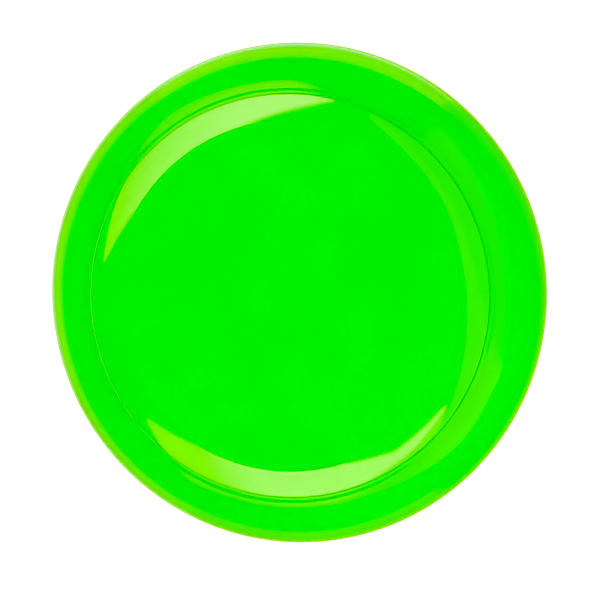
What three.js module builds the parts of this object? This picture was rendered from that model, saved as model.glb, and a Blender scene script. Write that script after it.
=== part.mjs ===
// Flying disc of the 9 1/4 inch class: a thin flight plate whose edge is held in a groove of a soft rim.
// Millimetres, +Z up. The origin is at the centre of the plane that the rim's lip stands on.
// Both pieces are turned shapes, so each is one closed profile of (radius, height) points.

import * as THREE from 'three';

// Driving dimensions
const discDiameter = 235;
const discHeight = 32;
const facets = 80;                // round the disc

// Flight plate: a level middle, then a shoulder that falls to a rounded edge
const levelDiameter = 160;        // the level middle ends here, in a crease
const plateEdgeDiameter = 185;    // the shoulder ends here
const plateThickness = 1.6;
const creaseSlope = 9.5;          // degrees below level, just outside the crease
const edgeSlope = 14.5;           // degrees below level, at the end of the shoulder
const edgeRounding = 1;
const edgeFaceSlope = 38;         // the rounded edge ends in a short steeper face
const edgeFaceLength = 0.2;

// Tongue on the plate, and the groove in the rim that it is bonded into
const tongueThickness = 1;
const tongueLength = 4.7;
const rimSkin = 1;                // the rim above and below the tongue
const bondGap = 0.15;             // round the tongue
const seamGap = 0.3;              // between the plate's edge and the rim's edge
const undercut = 0.6;             // the groove's lower side reaches this much further in

// Rim: a rounded band that turns down into a wall with a thickened lip
const rimSlope = 16;              // degrees below level, at the seam
const rimThickness = 2.5;
const widestHeight = 6;
const lipThickness = 4;
const lipTuck = 1.3;              // the lip's outer edge lies inside the widest part by this much
const lipWidth = 2;               // the flat ring that the disc stands on
const outerPull = { top: 12, side: 14.5 };    // how far the band keeps each end's direction
const innerPull = { top: 11, side: 9.5 };

const discRadius = discDiameter / 2;
const levelRadius = levelDiameter / 2;
const plateEdgeRadius = plateEdgeDiameter / 2;

const radians = (degrees) => THREE.MathUtils.degToRad(degrees);
const point = (radius, height) => new THREE.Vector2(radius, height);

// A point further along a line that falls outwards at the given slope.
function downSlope(start, distance, slope) {
  return point(
    start.x + distance * Math.cos(radians(slope)),
    start.y - distance * Math.sin(radians(slope)),
  );
}

// A convex arc that starts at one slope and ends at a steeper one, both in degrees below level.
function fallingArc(start, radius, fromSlope, toSlope, steps) {
  const points = [];
  for (let i = 0; i <= steps; i += 1) {
    const slope = radians(fromSlope + ((toSlope - fromSlope) * i) / steps);
    points.push(point(
      start.x + radius * (Math.sin(slope) - Math.sin(radians(fromSlope))),
      start.y - radius * (Math.cos(radians(fromSlope)) - Math.cos(slope)),
    ));
  }
  return points;
}

// Turns a closed profile, listed anticlockwise with radius to the right, about the Z axis.
function turned(profile) {
  const geometry = new THREE.LatheGeometry(profile, facets);
  geometry.rotateX(Math.PI / 2);
  return geometry;
}

// The plate's upper surface outside the crease, down to the foot of its edge at the seam.
const shoulderRadius = (plateEdgeRadius - levelRadius)
  / (Math.sin(radians(edgeSlope)) - Math.sin(radians(creaseSlope)));
const shoulder = fallingArc(point(levelRadius, discHeight), shoulderRadius, creaseSlope, edgeSlope, 4);
const roundedEdge = fallingArc(shoulder.at(-1), edgeRounding, edgeSlope, edgeFaceSlope, 3);
const edgeFoot = downSlope(roundedEdge.at(-1), edgeFaceLength, edgeFaceSlope);

// The rim's upper surface starts beside that foot. The groove and the tongue keep its slope,
// so thicknesses are turned into heights by dividing by the cosine of the slope.
const rimTop = point(edgeFoot.x + seamGap, edgeFoot.y - seamGap);
const upright = (thickness) => thickness / Math.cos(radians(rimSlope));
const grooveRoofAt = (radius) => (
  rimTop.y - upright(rimSkin) - (radius - rimTop.x) * Math.tan(radians(rimSlope)));
const grooveFloorAt = (radius) => grooveRoofAt(radius) - upright(tongueThickness + 2 * bondGap);
const tongueRoofAt = (radius) => grooveRoofAt(radius) - upright(bondGap);
const tongueFloorAt = (radius) => grooveFloorAt(radius) + upright(bondGap);
const tongueTip = edgeFoot.x + tongueLength;

function flightPlateProfile() {
  const underside = discHeight - plateThickness;
  const undersideCrease = levelRadius - plateThickness * Math.tan(radians(creaseSlope));
  const tongueRoot = edgeFoot.x - undercut;
  return [
    point(0, underside),
    point(undersideCrease, underside),
    point(tongueRoot, tongueFloorAt(tongueRoot)),
    point(tongueTip, tongueFloorAt(tongueTip)),
    point(tongueTip, tongueRoofAt(tongueTip)),
    point(edgeFoot.x, tongueRoofAt(edgeFoot.x)),
    edgeFoot,
    ...roundedEdge.toReversed(),
    ...shoulder.toReversed().slice(1),
    point(0, discHeight),
  ];
}

function rimProfile() {
  const lipOuter = discRadius - lipTuck;
  const lipInner = lipOuter - lipWidth;
  const wallInner = discRadius - rimThickness;
  const beadInner = discRadius - lipThickness;
  const beadTop = widestHeight + 4;
  const beadMiddle = widestHeight / 2;
  const grooveEnd = tongueTip + seamGap;
  const innerEdge = rimTop.x - undercut;
  const innerTop = point(innerEdge, grooveFloorAt(innerEdge) - upright(rimSkin));

  // The lip tucks in under the widest part of the rim.
  const tuck = new THREE.QuadraticBezierCurve(
    point(lipOuter, 0), point(discRadius, 0), point(discRadius, widestHeight));
  const outerBand = new THREE.CubicBezierCurve(
    point(discRadius, widestHeight), point(discRadius, widestHeight + outerPull.side),
    downSlope(rimTop, outerPull.top, rimSlope), rimTop);
  const innerBand = new THREE.CubicBezierCurve(
    innerTop, downSlope(innerTop, innerPull.top, rimSlope),
    point(wallInner, beadTop + innerPull.side), point(wallInner, beadTop));
  // A rolled bead thickens the lip on the inside.
  const beadSide = new THREE.CubicBezierCurve(
    point(wallInner, beadTop), point(wallInner, widestHeight),
    point(beadInner, widestHeight), point(beadInner, beadMiddle));
  const beadFoot = new THREE.QuadraticBezierCurve(
    point(beadInner, beadMiddle), point(beadInner, 0), point(lipInner, 0));

  return [
    ...tuck.getPoints(4),
    ...outerBand.getPoints(9).slice(1),
    point(rimTop.x, grooveRoofAt(rimTop.x)),
    point(grooveEnd, grooveRoofAt(grooveEnd)),
    point(grooveEnd, grooveFloorAt(grooveEnd)),
    point(innerEdge, grooveFloorAt(innerEdge)),
    ...innerBand.getPoints(7),
    ...beadSide.getPoints(4).slice(1),
    ...beadFoot.getPoints(3).slice(1),
    point(lipOuter, 0),
  ];
}

function piece(name, profile, material) {
  const mesh = new THREE.Mesh(turned(profile), material);
  mesh.name = name;
  return mesh;
}

const hardGreen = new THREE.MeshStandardMaterial({ color: 0x00f000, roughness: 0.15, metalness: 0 });
const softGreen = new THREE.MeshStandardMaterial({ color: 0x10ec00, roughness: 0.45, metalness: 0 });

const disc = new THREE.Group();
disc.add(
  piece('flight_plate', flightPlateProfile(), hardGreen),
  piece('rim', rimProfile(), softGreen),
);

export default disc;
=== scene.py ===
import math

import bmesh
import bpy
from mathutils import Matrix, Vector, noise

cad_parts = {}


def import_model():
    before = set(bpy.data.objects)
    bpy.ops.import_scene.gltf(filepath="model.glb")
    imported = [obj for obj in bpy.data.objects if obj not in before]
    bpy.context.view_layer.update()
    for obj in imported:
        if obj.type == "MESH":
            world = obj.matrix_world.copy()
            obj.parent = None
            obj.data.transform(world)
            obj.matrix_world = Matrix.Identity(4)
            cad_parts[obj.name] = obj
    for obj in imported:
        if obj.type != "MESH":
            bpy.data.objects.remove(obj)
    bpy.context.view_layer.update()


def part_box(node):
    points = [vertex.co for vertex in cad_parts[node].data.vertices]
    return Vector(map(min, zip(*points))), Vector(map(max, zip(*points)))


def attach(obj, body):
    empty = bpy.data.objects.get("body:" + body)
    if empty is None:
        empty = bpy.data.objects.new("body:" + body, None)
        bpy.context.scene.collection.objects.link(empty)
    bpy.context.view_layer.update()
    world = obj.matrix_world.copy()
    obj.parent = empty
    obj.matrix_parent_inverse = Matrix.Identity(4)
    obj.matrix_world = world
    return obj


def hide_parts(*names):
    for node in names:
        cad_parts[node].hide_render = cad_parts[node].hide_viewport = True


MM = 0.001

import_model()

# ---------------------------------------------------------------------------------------------------------
# Driving sizes. The outer ones are read from the CAD model's parts, and the section repeats the CAD model's
# own values.
# ---------------------------------------------------------------------------------------------------------
DISC_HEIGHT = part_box("flight_plate")[1].z
DISC_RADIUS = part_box("rim")[1].x
LEVEL_RADIUS = 80 * MM
PLATE_EDGE_RADIUS = 92.5 * MM
PLATE_THICKNESS = 1.6 * MM
CREASE_SLOPE = math.radians(9.5)
EDGE_SLOPE = math.radians(14.5)
EDGE_ROUNDING = 1 * MM
EDGE_FACE_SLOPE = math.radians(38)
EDGE_FACE_LENGTH = 0.2 * MM
TONGUE_THICKNESS = 1 * MM
TONGUE_LENGTH = 4.7 * MM
RIM_SKIN = 1 * MM
BOND_GAP = 0.15 * MM
SEAM_GAP = 0.3 * MM
UNDERCUT = 0.6 * MM
RIM_SLOPE = math.radians(16)
RIM_THICKNESS = 2.5 * MM
WIDEST_HEIGHT = 6 * MM
LIP_THICKNESS = 4 * MM
LIP_TUCK = 1.3 * MM
LIP_WIDTH = 2 * MM
LIP_BEAD_RISE = 4 * MM       # the lip's inner bead starts this far above the widest part
OUTER_PULL_TOP = 12 * MM     # how far the rim's outside and inside keep the direction of each end
OUTER_PULL_SIDE = 14.5 * MM
INNER_PULL_TOP = 11 * MM
INNER_PULL_SIDE = 9.5 * MM

# Details of moulding that the CAD model leaves out: the softened crease, the low bead that the bond squeezed
# up along the rim's top edge, the parting line, the gate and pin marks underneath, and the slight unevenness
# that every moulded sheet has.
CREASE_ROUNDING = 6 * MM
BEAD_WIDTH = 2.6 * MM
BEAD_HEIGHT = 0.12 * MM
BEAD_RISE_SHARE = 0.625      # the bead reaches its full height over this share of its width
BEAD_EDGE_ROUNDING = 0.12 * MM
VISIBLE_GAP = 0.02 * MM      # between the plate's edge and the rim's
PARTING_STANDS = 0.06 * MM
PARTING_WIDTH = 0.4 * MM
GATE_RADIUS = 1.6 * MM
GATE_HEIGHT = 0.4 * MM
GATE_CHAMFER = 0.25 * MM
DIMPLE_RADIUS = 6 * MM
DIMPLE_DEPTH = 0.35 * MM
DIMPLE_BLEND = 2 * MM
PIN_CIRCLE = 36 * MM
PIN_RADIUS = 3.5 * MM
PIN_EDGE = 0.9 * MM
PIN_DEPTH = 0.12 * MM
PIN_COUNT = 6
UNEVENNESS = 0.035 * MM
UNEVENNESS_LENGTH = 45 * MM

TURN_STEPS = 360
SHARP_ANGLE = math.radians(30)


# ---------------------------------------------------------------------------------------------------------
# Section curves, as lists of (radius, height)
# ---------------------------------------------------------------------------------------------------------
def down_slope(start, distance, slope):
    return (start[0] + distance * math.cos(slope), start[1] - distance * math.sin(slope))


def falling_arc(start, radius, from_slope, to_slope, steps):
    points = []
    for i in range(steps + 1):
        slope = from_slope + (to_slope - from_slope) * i / steps
        points.append((
            start[0] + radius * (math.sin(slope) - math.sin(from_slope)),
            start[1] - radius * (math.cos(from_slope) - math.cos(slope)),
        ))
    return points


def straight(start, end, steps):
    return [
        (start[0] + (end[0] - start[0]) * i / steps, start[1] + (end[1] - start[1]) * i / steps)
        for i in range(steps + 1)
    ]


def bezier(points, steps):
    """A Bezier curve of any degree."""
    curve = []
    for i in range(steps + 1):
        level = [Vector(p) for p in points]
        while len(level) > 1:
            level = [a.lerp(b, i / steps) for a, b in zip(level, level[1:])]
        curve.append((level[0].x, level[0].y))
    return curve


def smooth(t):
    """Rises from 0 to 1 with level ends, as t goes from 0 to 1."""
    t = min(max(t, 0), 1)
    return t * t * (3 - 2 * t)


def upright(thickness):
    """The height that a thickness takes on the rim's slope."""
    return thickness / math.cos(RIM_SLOPE)


SHOULDER_RADIUS = (PLATE_EDGE_RADIUS - LEVEL_RADIUS) / (math.sin(EDGE_SLOPE) - math.sin(CREASE_SLOPE))
shoulder = falling_arc((LEVEL_RADIUS, DISC_HEIGHT), SHOULDER_RADIUS, CREASE_SLOPE, EDGE_SLOPE, steps=16)
rounded_edge = falling_arc(shoulder[-1], EDGE_ROUNDING, EDGE_SLOPE, EDGE_FACE_SLOPE, steps=8)
edge_foot = down_slope(rounded_edge[-1], EDGE_FACE_LENGTH, EDGE_FACE_SLOPE)
rim_top = (edge_foot[0] + SEAM_GAP, edge_foot[1] - SEAM_GAP)
tongue_tip = edge_foot[0] + TONGUE_LENGTH


def rim_slope_height(radius):
    """The height of the straight slope that the rim's top starts on."""
    return rim_top[1] - (radius - rim_top[0]) * math.tan(RIM_SLOPE)


def groove_roof(radius):
    return rim_slope_height(radius) - upright(RIM_SKIN)


def groove_floor(radius):
    return groove_roof(radius) - upright(TONGUE_THICKNESS + 2 * BOND_GAP)


def gate_section(underside):
    """The gate's stub in its dimple, from the axis out to the level underside."""
    roof = underside + DIMPLE_DEPTH
    section = [
        (0, roof - GATE_HEIGHT),
        (GATE_RADIUS - GATE_CHAMFER, roof - GATE_HEIGHT),
        (GATE_RADIUS, roof - GATE_HEIGHT + GATE_CHAMFER),
        (GATE_RADIUS, roof),
    ]
    blend_steps = 8
    for i in range(blend_steps + 1):
        part = i / blend_steps
        section.append((DIMPLE_RADIUS + DIMPLE_BLEND * part, roof - DIMPLE_DEPTH * smooth(part)))
    return section


def plate_section():
    underside = DISC_HEIGHT - PLATE_THICKNESS
    underside_crease = LEVEL_RADIUS - PLATE_THICKNESS * math.tan(CREASE_SLOPE)
    pins_start = PIN_CIRCLE - PIN_RADIUS - PIN_EDGE
    pins_end = PIN_CIRCLE + PIN_RADIUS + PIN_EDGE
    crease_tangent = CREASE_ROUNDING * math.tan(CREASE_SLOPE / 2)
    crease_start = (LEVEL_RADIUS - crease_tangent, DISC_HEIGHT)
    crease = falling_arc(crease_start, CREASE_ROUNDING, 0, CREASE_SLOPE, steps=6)
    root = edge_foot[0] - UNDERCUT
    root_height = groove_floor(root) + upright(BOND_GAP)

    section = gate_section(underside)
    section += straight((section[-1][0], underside), (pins_start, underside), steps=8)[1:]
    section += straight((pins_start, underside), (pins_end, underside), steps=20)[1:]
    section += straight((pins_end, underside), (underside_crease, underside), steps=14)[1:]
    section += straight((underside_crease, underside), (root, root_height), steps=16)[1:]
    section += [
        (tongue_tip, groove_floor(tongue_tip) + upright(BOND_GAP)),
        (tongue_tip, groove_roof(tongue_tip) - upright(BOND_GAP)),
        (edge_foot[0], groove_roof(edge_foot[0]) - upright(BOND_GAP)),
    ]
    section += straight(edge_foot, rounded_edge[-1], steps=2)
    section += rounded_edge[::-1][1:]
    section += [point for point in shoulder[::-1][1:] if point[0] > crease[-1][0]]
    section += crease[::-1]
    section += straight(crease_start, (0, DISC_HEIGHT), steps=28)[1:]
    return section


def rim_edge():
    """The bead along the rim's top edge, from the slope over it, then down to the wall facing the plate."""
    wall = edge_foot[0] + VISIBLE_GAP
    swell_steps = 12
    rounding_steps = 6
    points = []
    for i in range(swell_steps + 1):
        radius = wall + BEAD_WIDTH - (BEAD_WIDTH - BEAD_EDGE_ROUNDING) * i / swell_steps
        swell = BEAD_HEIGHT * smooth(i / swell_steps / BEAD_RISE_SHARE)
        points.append((radius, rim_slope_height(radius) + swell))
    top_radius, top_height = points[-1]
    for i in range(1, rounding_steps + 1):
        lean = math.pi / 2 * i / rounding_steps
        points.append((
            top_radius - BEAD_EDGE_ROUNDING * math.sin(lean),
            top_height - BEAD_EDGE_ROUNDING * (1 - math.cos(lean)),
        ))
    return points


def parting_line():
    """The fine ridge where the two halves of the mould met, round the widest part of the rim."""
    return [
        (DISC_RADIUS, WIDEST_HEIGHT - PARTING_WIDTH / 2),
        (DISC_RADIUS + PARTING_STANDS, WIDEST_HEIGHT - PARTING_WIDTH / 6),
        (DISC_RADIUS + PARTING_STANDS, WIDEST_HEIGHT + PARTING_WIDTH / 6),
        (DISC_RADIUS, WIDEST_HEIGHT + PARTING_WIDTH / 2),
    ]


def rim_section():
    lip_outer = DISC_RADIUS - LIP_TUCK
    lip_inner = lip_outer - LIP_WIDTH
    wall_inner = DISC_RADIUS - RIM_THICKNESS
    bead_inner = DISC_RADIUS - LIP_THICKNESS
    bead_top = WIDEST_HEIGHT + LIP_BEAD_RISE
    bead_middle = WIDEST_HEIGHT / 2
    groove_end = tongue_tip + SEAM_GAP
    inner_edge = rim_top[0] - UNDERCUT
    inner_top = (inner_edge, groove_floor(inner_edge) - upright(RIM_SKIN))
    edge = rim_edge()
    section = bezier([(lip_outer, 0), (DISC_RADIUS, 0), (DISC_RADIUS, WIDEST_HEIGHT)], steps=16)[:-1]
    section += parting_line()
    section += bezier([
        (DISC_RADIUS, WIDEST_HEIGHT),
        (DISC_RADIUS, WIDEST_HEIGHT + OUTER_PULL_SIDE),
        down_slope(rim_top, OUTER_PULL_TOP, RIM_SLOPE),
        edge[0],
    ], steps=64)[1:]
    section += edge[1:]
    section += [
        (edge[-1][0], groove_roof(edge[-1][0])),
        (groove_end, groove_roof(groove_end)),
        (groove_end, groove_floor(groove_end)),
        (inner_edge, groove_floor(inner_edge)),
    ]
    section += bezier([
        inner_top,
        down_slope(inner_top, INNER_PULL_TOP, RIM_SLOPE),
        (wall_inner, bead_top + INNER_PULL_SIDE),
        (wall_inner, bead_top),
    ], steps=48)
    section += bezier([
        (wall_inner, bead_top), (wall_inner, WIDEST_HEIGHT),
        (bead_inner, WIDEST_HEIGHT), (bead_inner, bead_middle),
    ], steps=16)[1:]
    section += bezier([(bead_inner, bead_middle), (bead_inner, 0), (lip_inner, 0)], steps=8)[1:]
    section += straight((lip_inner, 0), (lip_outer, 0), steps=4)[1:-1]
    return section


# ---------------------------------------------------------------------------------------------------------
# Meshes
# ---------------------------------------------------------------------------------------------------------
def pin_mark(x, y):
    """How far the pin marks dent the plate's underside upwards."""
    dent = 0
    for i in range(PIN_COUNT):
        angle = 2 * math.pi * i / PIN_COUNT
        away = math.hypot(x - PIN_CIRCLE * math.cos(angle), y - PIN_CIRCLE * math.sin(angle))
        dent += PIN_DEPTH * smooth((PIN_RADIUS + PIN_EDGE / 2 - away) / PIN_EDGE)
    return dent


def uneven(x, y, z):
    """The slight waviness of the moulding, which dies away at the flat lip."""
    place = Vector((x, y, z)) / UNEVENNESS_LENGTH
    return UNEVENNESS * noise.noise(place) * z / DISC_HEIGHT


def turned(name, section, marked=False):
    """Turns a section about Z. Its ends close on the axis, or on each other when neither is on the axis.
    When marked, the pin marks are pressed into the points at the level underside."""
    on_axis = section[0][0] == 0
    vertices = []
    rings = []

    def add_point(x, y, height):
        level_underside = marked and abs(height - (DISC_HEIGHT - PLATE_THICKNESS)) < BOND_GAP / 10
        z = height + (pin_mark(x, y) if level_underside else 0)
        vertices.append((x, y, z + uneven(x, y, z)))

    for radius, height in section:
        if radius == 0:
            rings.append([len(vertices)] * TURN_STEPS)
            add_point(0, 0, height)
            continue
        rings.append(list(range(len(vertices), len(vertices) + TURN_STEPS)))
        for i in range(TURN_STEPS):
            angle = 2 * math.pi * i / TURN_STEPS
            add_point(radius * math.cos(angle), radius * math.sin(angle), height)
    faces = []
    pairs = list(zip(rings, rings[1:]))
    if not on_axis:
        pairs.append((rings[-1], rings[0]))
    for lower, upper in pairs:
        for i in range(TURN_STEPS):
            j = (i + 1) % TURN_STEPS
            corners = [lower[i], lower[j], upper[j], upper[i]]
            faces.append(list(dict.fromkeys(corners)))
    mesh = bpy.data.meshes.new(name)
    mesh.from_pydata(vertices, [], faces)
    work = bmesh.new()
    work.from_mesh(mesh)
    bmesh.ops.recalc_face_normals(work, faces=work.faces)
    for face in work.faces:
        face.smooth = True
    for edge in work.edges:
        if edge.is_manifold and edge.calc_face_angle() > SHARP_ANGLE:
            edge.smooth = False
    work.to_mesh(mesh)
    work.free()
    piece = bpy.data.objects.new(name, mesh)
    bpy.context.scene.collection.objects.link(piece)
    return piece


# ---------------------------------------------------------------------------------------------------------
# Materials
# ---------------------------------------------------------------------------------------------------------
PIGMENT_PATCH = 40 * MM
SMUDGE_PATCH = 14 * MM
PEEL_SIZE = 3 * MM
RING_SPACING = 1.4 * MM
GRAIN_SIZE = 0.5 * MM
SCATTER_DEPTH = 3 * MM
GREEN = (0.0, 0.85, 0.0)
STRONGER_GREEN = (0.0, 0.88, 0.0)
GLOSS_TINT = (1.0, 0.25, 0.73, 1)    # weak in green, so that highlights turn paler and not greener


def new_material(name):
    material = bpy.data.materials.new(name)
    material.use_nodes = True
    return material, material.node_tree.nodes, material.node_tree.links


def noise_texture(nodes, links, size, detail):
    """Noise whose lumps are about one size across, in the piece's own metres."""
    place = nodes.new("ShaderNodeTexCoord")
    texture = nodes.new("ShaderNodeTexNoise")
    texture.inputs["Scale"].default_value = 1 / size
    texture.inputs["Detail"].default_value = detail
    links.new(place.outputs["Object"], texture.inputs["Vector"])
    return texture.outputs["Fac"]


def ranged(nodes, links, value, from_low, from_high, to_low, to_high):
    scaled = nodes.new("ShaderNodeMapRange")
    scaled.inputs["From Min"].default_value = from_low
    scaled.inputs["From Max"].default_value = from_high
    scaled.inputs["To Min"].default_value = to_low
    scaled.inputs["To Max"].default_value = to_high
    links.new(value, scaled.inputs["Value"])
    return scaled.outputs["Result"]


def two_colours(nodes, links, factor, first, second):
    mixed = nodes.new("ShaderNodeMix")
    mixed.data_type = "RGBA"
    mixed.inputs["A"].default_value = (*first, 1)
    mixed.inputs["B"].default_value = (*second, 1)
    links.new(factor, mixed.inputs["Factor"])
    return mixed.outputs["Result"]


def bumped(nodes, links, height, depth, under=None):
    bump = nodes.new("ShaderNodeBump")
    bump.inputs["Strength"].default_value = 1
    bump.inputs["Distance"].default_value = depth
    links.new(height, bump.inputs["Height"])
    if under is not None:
        links.new(under, bump.inputs["Normal"])
    return bump.outputs["Normal"]


def turning_rings(nodes, links, spacing):
    """Fine rings about the disc's axis, from the turning and polishing of the mould."""
    place = nodes.new("ShaderNodeTexCoord")
    wave = nodes.new("ShaderNodeTexWave")
    wave.wave_type = "RINGS"
    wave.rings_direction = "Z"
    wave.inputs["Scale"].default_value = 1 / (20 * spacing)    # at a scale of 1 the rings are 1/20 apart
    wave.inputs["Distortion"].default_value = 3
    wave.inputs["Detail"].default_value = 4
    wave.inputs["Detail Scale"].default_value = 0.1
    links.new(place.outputs["Object"], wave.inputs["Vector"])
    return wave.outputs["Fac"]


def green_plastic(name, roughness, smudge, peel_depth, ring_depth, grain_depth):
    """Bright green plastic: uneven pigment, smudged gloss, orange peel, turning rings and fine grain."""
    material, nodes, links = new_material(name)
    shader = nodes["Principled BSDF"]
    patches = noise_texture(nodes, links, PIGMENT_PATCH, detail=3)
    pigment = ranged(nodes, links, patches, 0.35, 0.65, 0, 1)
    links.new(two_colours(nodes, links, pigment, GREEN, STRONGER_GREEN), shader.inputs["Base Color"])
    smudges = noise_texture(nodes, links, SMUDGE_PATCH, detail=5)
    gloss = ranged(nodes, links, smudges, 0.4, 0.75, roughness, roughness + smudge)
    links.new(gloss, shader.inputs["Roughness"])
    surface = bumped(nodes, links, noise_texture(nodes, links, PEEL_SIZE, detail=1), peel_depth)
    surface = bumped(nodes, links, turning_rings(nodes, links, RING_SPACING), ring_depth, surface)
    surface = bumped(nodes, links, noise_texture(nodes, links, GRAIN_SIZE, detail=2), grain_depth, surface)
    links.new(surface, shader.inputs["Normal"])
    shader.inputs["Specular Tint"].default_value = GLOSS_TINT
    shader.inputs["Subsurface Weight"].default_value = 0.25
    shader.inputs["Subsurface Radius"].default_value = (0.2, 1.0, 0.2)
    shader.inputs["Subsurface Scale"].default_value = SCATTER_DEPTH
    return material, shader


def plate_material():
    material, shader = green_plastic(
        "gloss_green_plastic", roughness=0.055, smudge=0.03,
        peel_depth=0.003 * MM, ring_depth=0.001 * MM, grain_depth=0.0008 * MM,
    )
    shader.inputs["Specular IOR Level"].default_value = 0.75
    return material


def rim_material():
    material, shader = green_plastic(
        "satin_green_plastic", roughness=0.11, smudge=0.04,
        peel_depth=0.004 * MM, ring_depth=0.002 * MM, grain_depth=0.006 * MM,
    )
    shader.inputs["Specular IOR Level"].default_value = 0.3
    shader.inputs["Sheen Weight"].default_value = 0.85
    shader.inputs["Sheen Roughness"].default_value = 0.24
    shader.inputs["Sheen Tint"].default_value = (1.0, 0.75, 0.0, 1)
    return material


# ---------------------------------------------------------------------------------------------------------
# Floor, light and camera
# ---------------------------------------------------------------------------------------------------------
def flat_sheet(name, corners):
    mesh = bpy.data.meshes.new(name)
    mesh.from_pydata(corners, [], [tuple(range(len(corners)))])
    sheet = bpy.data.objects.new(name, mesh)
    bpy.context.scene.collection.objects.link(sheet)
    return sheet


def square(half_width, height):
    return [
        (-half_width, -half_width, height), (half_width, -half_width, height),
        (half_width, half_width, height), (-half_width, half_width, height),
    ]


def floor():
    """A plain white floor, which lights the disc but doesn't show in its gloss."""
    reach = 12
    plane = flat_sheet("floor", square(reach, 0))
    material, nodes, links = new_material("white_floor")
    shader = nodes["Principled BSDF"]
    shader.inputs["Base Color"].default_value = (0.5, 0.5, 0.5, 1)
    shader.inputs["Roughness"].default_value = 0.9
    shader.inputs["Specular IOR Level"].default_value = 0.0
    shader.inputs["Emission Color"].default_value = (1, 1, 1, 1)
    shader.inputs["Emission Strength"].default_value = 0.75
    plane.data.materials.append(material)
    plane.visible_glossy = False


def lit_sheet(name, corners, radiance, seen_in_gloss=True, lights_matt=True, colour=(1, 1, 1), fade=None):
    """A sheet that gives light and that the camera doesn't see.
    Fade is (x of the dim end, x of the bright end, share of the radiance at the dim end)."""
    sheet = flat_sheet(name, corners)
    sheet.visible_camera = False
    sheet.visible_glossy = seen_in_gloss
    sheet.visible_diffuse = lights_matt
    material, nodes, links = new_material(name)
    nodes.remove(nodes["Principled BSDF"])
    glow = nodes.new("ShaderNodeEmission")
    glow.inputs["Color"].default_value = (*colour, 1)
    glow.inputs["Strength"].default_value = radiance
    if fade is not None:
        dim_end, bright_end, dim_share = fade
        place = nodes.new("ShaderNodeTexCoord")
        parts = nodes.new("ShaderNodeSeparateXYZ")
        links.new(place.outputs["Object"], parts.inputs[0])
        strength = ranged(
            nodes, links, parts.outputs["X"], dim_end, bright_end, dim_share * radiance, radiance,
        )
        links.new(strength, glow.inputs["Strength"])
    links.new(glow.outputs[0], nodes["Material Output"].inputs["Surface"])
    sheet.data.materials.append(material)


PANEL_HEIGHT = 1.2
FILL_HEIGHT = 2.2
REFLECTOR_FOOT = -0.7
REFLECTOR_LOW_FOOT = -3


def softbox(name, outline, radiance, fade=None):
    """A level softbox over the disc, with its outline as (x, y) at the panel height."""
    lit_sheet(name, [(x, y, PANEL_HEIGHT) for x, y in outline], radiance, fade=fade)


def overhead_lights():
    """The two big softboxes give the two bright crescents on the plate's shoulder. The dimmer ones on the
    right give the pale band there, and their joints the fine edges in it."""
    # Edges that neighbouring panels share, each from the front to the back
    front_edge = [(0.05, -1.2), (0.14, -0.89), (0.31, -0.72), (0.42, -0.51)]
    strip_front_edge = [(0.44, -0.65), (0.50, -0.44), (0.54, -0.24), (0.54, -0.05)]
    strip_back_edge = [(0.48, 0.12), (0.42, 0.30), (0.31, 0.46), (0.12, 0.68)]
    right_edge = [(0.47, -0.75), (0.60, -0.50), (0.66, -0.22)]
    far_edge = [(0.68, 0.0), (0.60, 0.35), (0.35, 0.70)]

    softbox("softbox_back", [
        (-1.06, 0.05), (-0.16, 0.67), (-0.02, 0.77), (-0.14, 0.95), (-0.20, 1.05), (-1.06, 1.05),
    ], radiance=7.0, fade=(-0.95, -0.4, 0.55))
    softbox("softbox_front", [
        (-0.88, -0.62), (-0.88, -1.2), *front_edge, (0.40, -0.50), (0.20, -0.67),
    ], radiance=6.2, fade=(-0.58, -0.34, 0.6))
    softbox("softbox_right_near", [*strip_front_edge[::-1], *right_edge], radiance=1.1)
    softbox("softbox_right_far", [
        *right_edge[::-1], (0.50, -1.20), (0.9, -1.2),
        (1.07, -1.09), (1.08, -0.75), (1.32, -0.60), (0.83, -0.39),
    ], radiance=3.2)
    softbox("strip_side", [
        (0.11, 0.65), (0.27, 0.42), (0.36, 0.26), (0.39, 0.10), (0.42, -0.06), (0.45, -0.30),
        *strip_front_edge, *strip_back_edge,
    ], radiance=1.0)
    softbox("fill_side_near", [
        *strip_back_edge[::-1], strip_front_edge[-1], right_edge[-1], *far_edge, (0.15, 0.82),
    ], radiance=0.72)
    softbox("fill_side_far", [
        right_edge[-1], (0.83, -0.39), (1.15, -0.45), (1.15, 0.27), (1.4, 0.8), (0.9, 1.3),
        *far_edge[::-1],
    ], radiance=1.7, fade=(1.4, 0.7, 0.3))
    lit_sheet("fill_right", [
        (2.48, -1.0, 1.06), (2.48, 1.0, 1.06), (1.06, 1.0, 2.48), (1.06, -1.0, 2.48),
    ], radiance=1.4, seen_in_gloss=False)
    softbox("strip_front", [
        *front_edge, strip_front_edge[0], right_edge[0], (0.50, -1.20),
    ], radiance=2.3)
    lit_sheet("fill_top", square(0.5, FILL_HEIGHT), radiance=1.9, seen_in_gloss=False)


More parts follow.
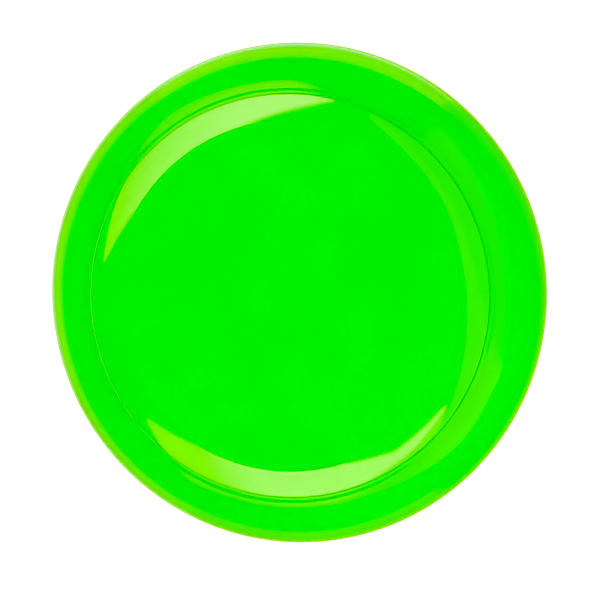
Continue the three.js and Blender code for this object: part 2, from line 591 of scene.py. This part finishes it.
def reflectors():
    """Upright sheets round the disc, from far below the floor to a little above it, and one under it all.
    They show only in gloss, where the rim turns down, and give its pale edge. Their tops stay low, so that
    the level plate doesn't mirror them in views from the side."""
    upper_colour = (1, 0.4, 0.5)
    low_colour = (0.85, 0.4, 0.85)
    low_share = 0.6
    corners = [(1.2, -2.2), (-1.4, -2.2), (-2.4, -1.0), (-1.6, 1.6), (1.4, 2.1)]
    sides = [("front", 1.8, 0.2), ("front_left", 2.6, 0.1), ("left", 3.3, 0.1), ("back", 4.8, 0.36)]
    for (name, radiance, top), start, end in zip(sides, corners, corners[1:]):
        lit_sheet("reflector_" + name, [
            (*start, REFLECTOR_FOOT), (*end, REFLECTOR_FOOT), (*end, top), (*start, top),
        ], radiance, lights_matt=False, colour=upper_colour)
        lit_sheet("reflector_low_" + name, [
            (*start, REFLECTOR_LOW_FOOT), (*end, REFLECTOR_LOW_FOOT),
            (*end, REFLECTOR_FOOT), (*start, REFLECTOR_FOOT),
        ], low_share * radiance, lights_matt=False, colour=low_colour)
    lit_sheet("reflector_bottom", square(3, REFLECTOR_LOW_FOOT), radiance=0.55, lights_matt=False)


def world():
    """A pale studio round the horizon and below, brighter towards the back left, under a dark ceiling.
    Heights here are the Z of a direction of length 1."""
    glow_full_below = 0.08
    glow_ends = 0.3
    brightest_towards = (-0.5, 0.87, 0)
    darkest_side = 0.2
    brightest_side = 1.5
    dimmest = 0.02
    made = bpy.data.worlds.new("studio")
    bpy.context.scene.world = made
    made.use_nodes = True
    nodes, links = made.node_tree.nodes, made.node_tree.links
    direction = nodes.new("ShaderNodeTexCoord")
    parts = nodes.new("ShaderNodeSeparateXYZ")
    links.new(direction.outputs["Generated"], parts.inputs[0])
    glow = ranged(nodes, links, parts.outputs["Z"], glow_full_below, glow_ends, 1, 0)
    towards = nodes.new("ShaderNodeVectorMath")
    towards.operation = "DOT_PRODUCT"
    towards.inputs[1].default_value = brightest_towards
    links.new(direction.outputs["Generated"], towards.inputs[0])
    side = ranged(nodes, links, towards.outputs["Value"], -1, 1, darkest_side, brightest_side)
    strength = nodes.new("ShaderNodeMath")
    strength.operation = "MULTIPLY_ADD"
    strength.inputs[2].default_value = dimmest
    links.new(glow, strength.inputs[0])
    links.new(side, strength.inputs[1])
    links.new(strength.outputs[0], nodes["Background"].inputs["Strength"])
    nodes["Background"].inputs["Color"].default_value = (1, 1, 1, 1)


def camera():
    """Almost straight above the disc, over towards +X and a little towards +Y, with +Y up in the picture."""
    tilt = math.radians(10.07)
    bearing = math.radians(19.7)
    distance = 8 * DISC_RADIUS
    aim = Vector((3.85 * MM, -2.23 * MM, DISC_HEIGHT / 2))
    back = Vector((
        math.sin(tilt) * math.cos(bearing),
        math.sin(tilt) * math.sin(bearing),
        math.cos(tilt),
    ))
    right = (-back).cross(Vector((0, 1, 0))).normalized()
    up = right.cross(-back)
    data = bpy.data.cameras.new("camera")
    data.lens = 121.25
    data.sensor_width = 36
    view = bpy.data.objects.new("camera", data)
    bpy.context.scene.collection.objects.link(view)
    place = Matrix((right, up, back)).transposed().to_4x4()
    place.translation = aim + back * distance
    view.matrix_world = place
    bpy.context.scene.camera = view


def colour_response():
    """So pure a green lies outside what a screen can show. A camera then drops the faintest red and blue,
    which the black level does here."""
    settings = bpy.context.scene.view_settings
    settings.view_transform = "Standard"
    settings.use_curve_mapping = True
    settings.curve_mapping.black_level = (0.03, 0.0, 0.17)
    settings.curve_mapping.update()


# ---------------------------------------------------------------------------------------------------------
# The object
# ---------------------------------------------------------------------------------------------------------
plate = turned("plate_body", plate_section(), marked=True)
plate.data.materials.append(plate_material())
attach(plate, "root")
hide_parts("flight_plate")

rim = turned("rim_body", rim_section())
rim.data.materials.append(rim_material())
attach(rim, "root")
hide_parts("rim")

floor()
overhead_lights()
reflectors()
world()
camera()
colour_response()
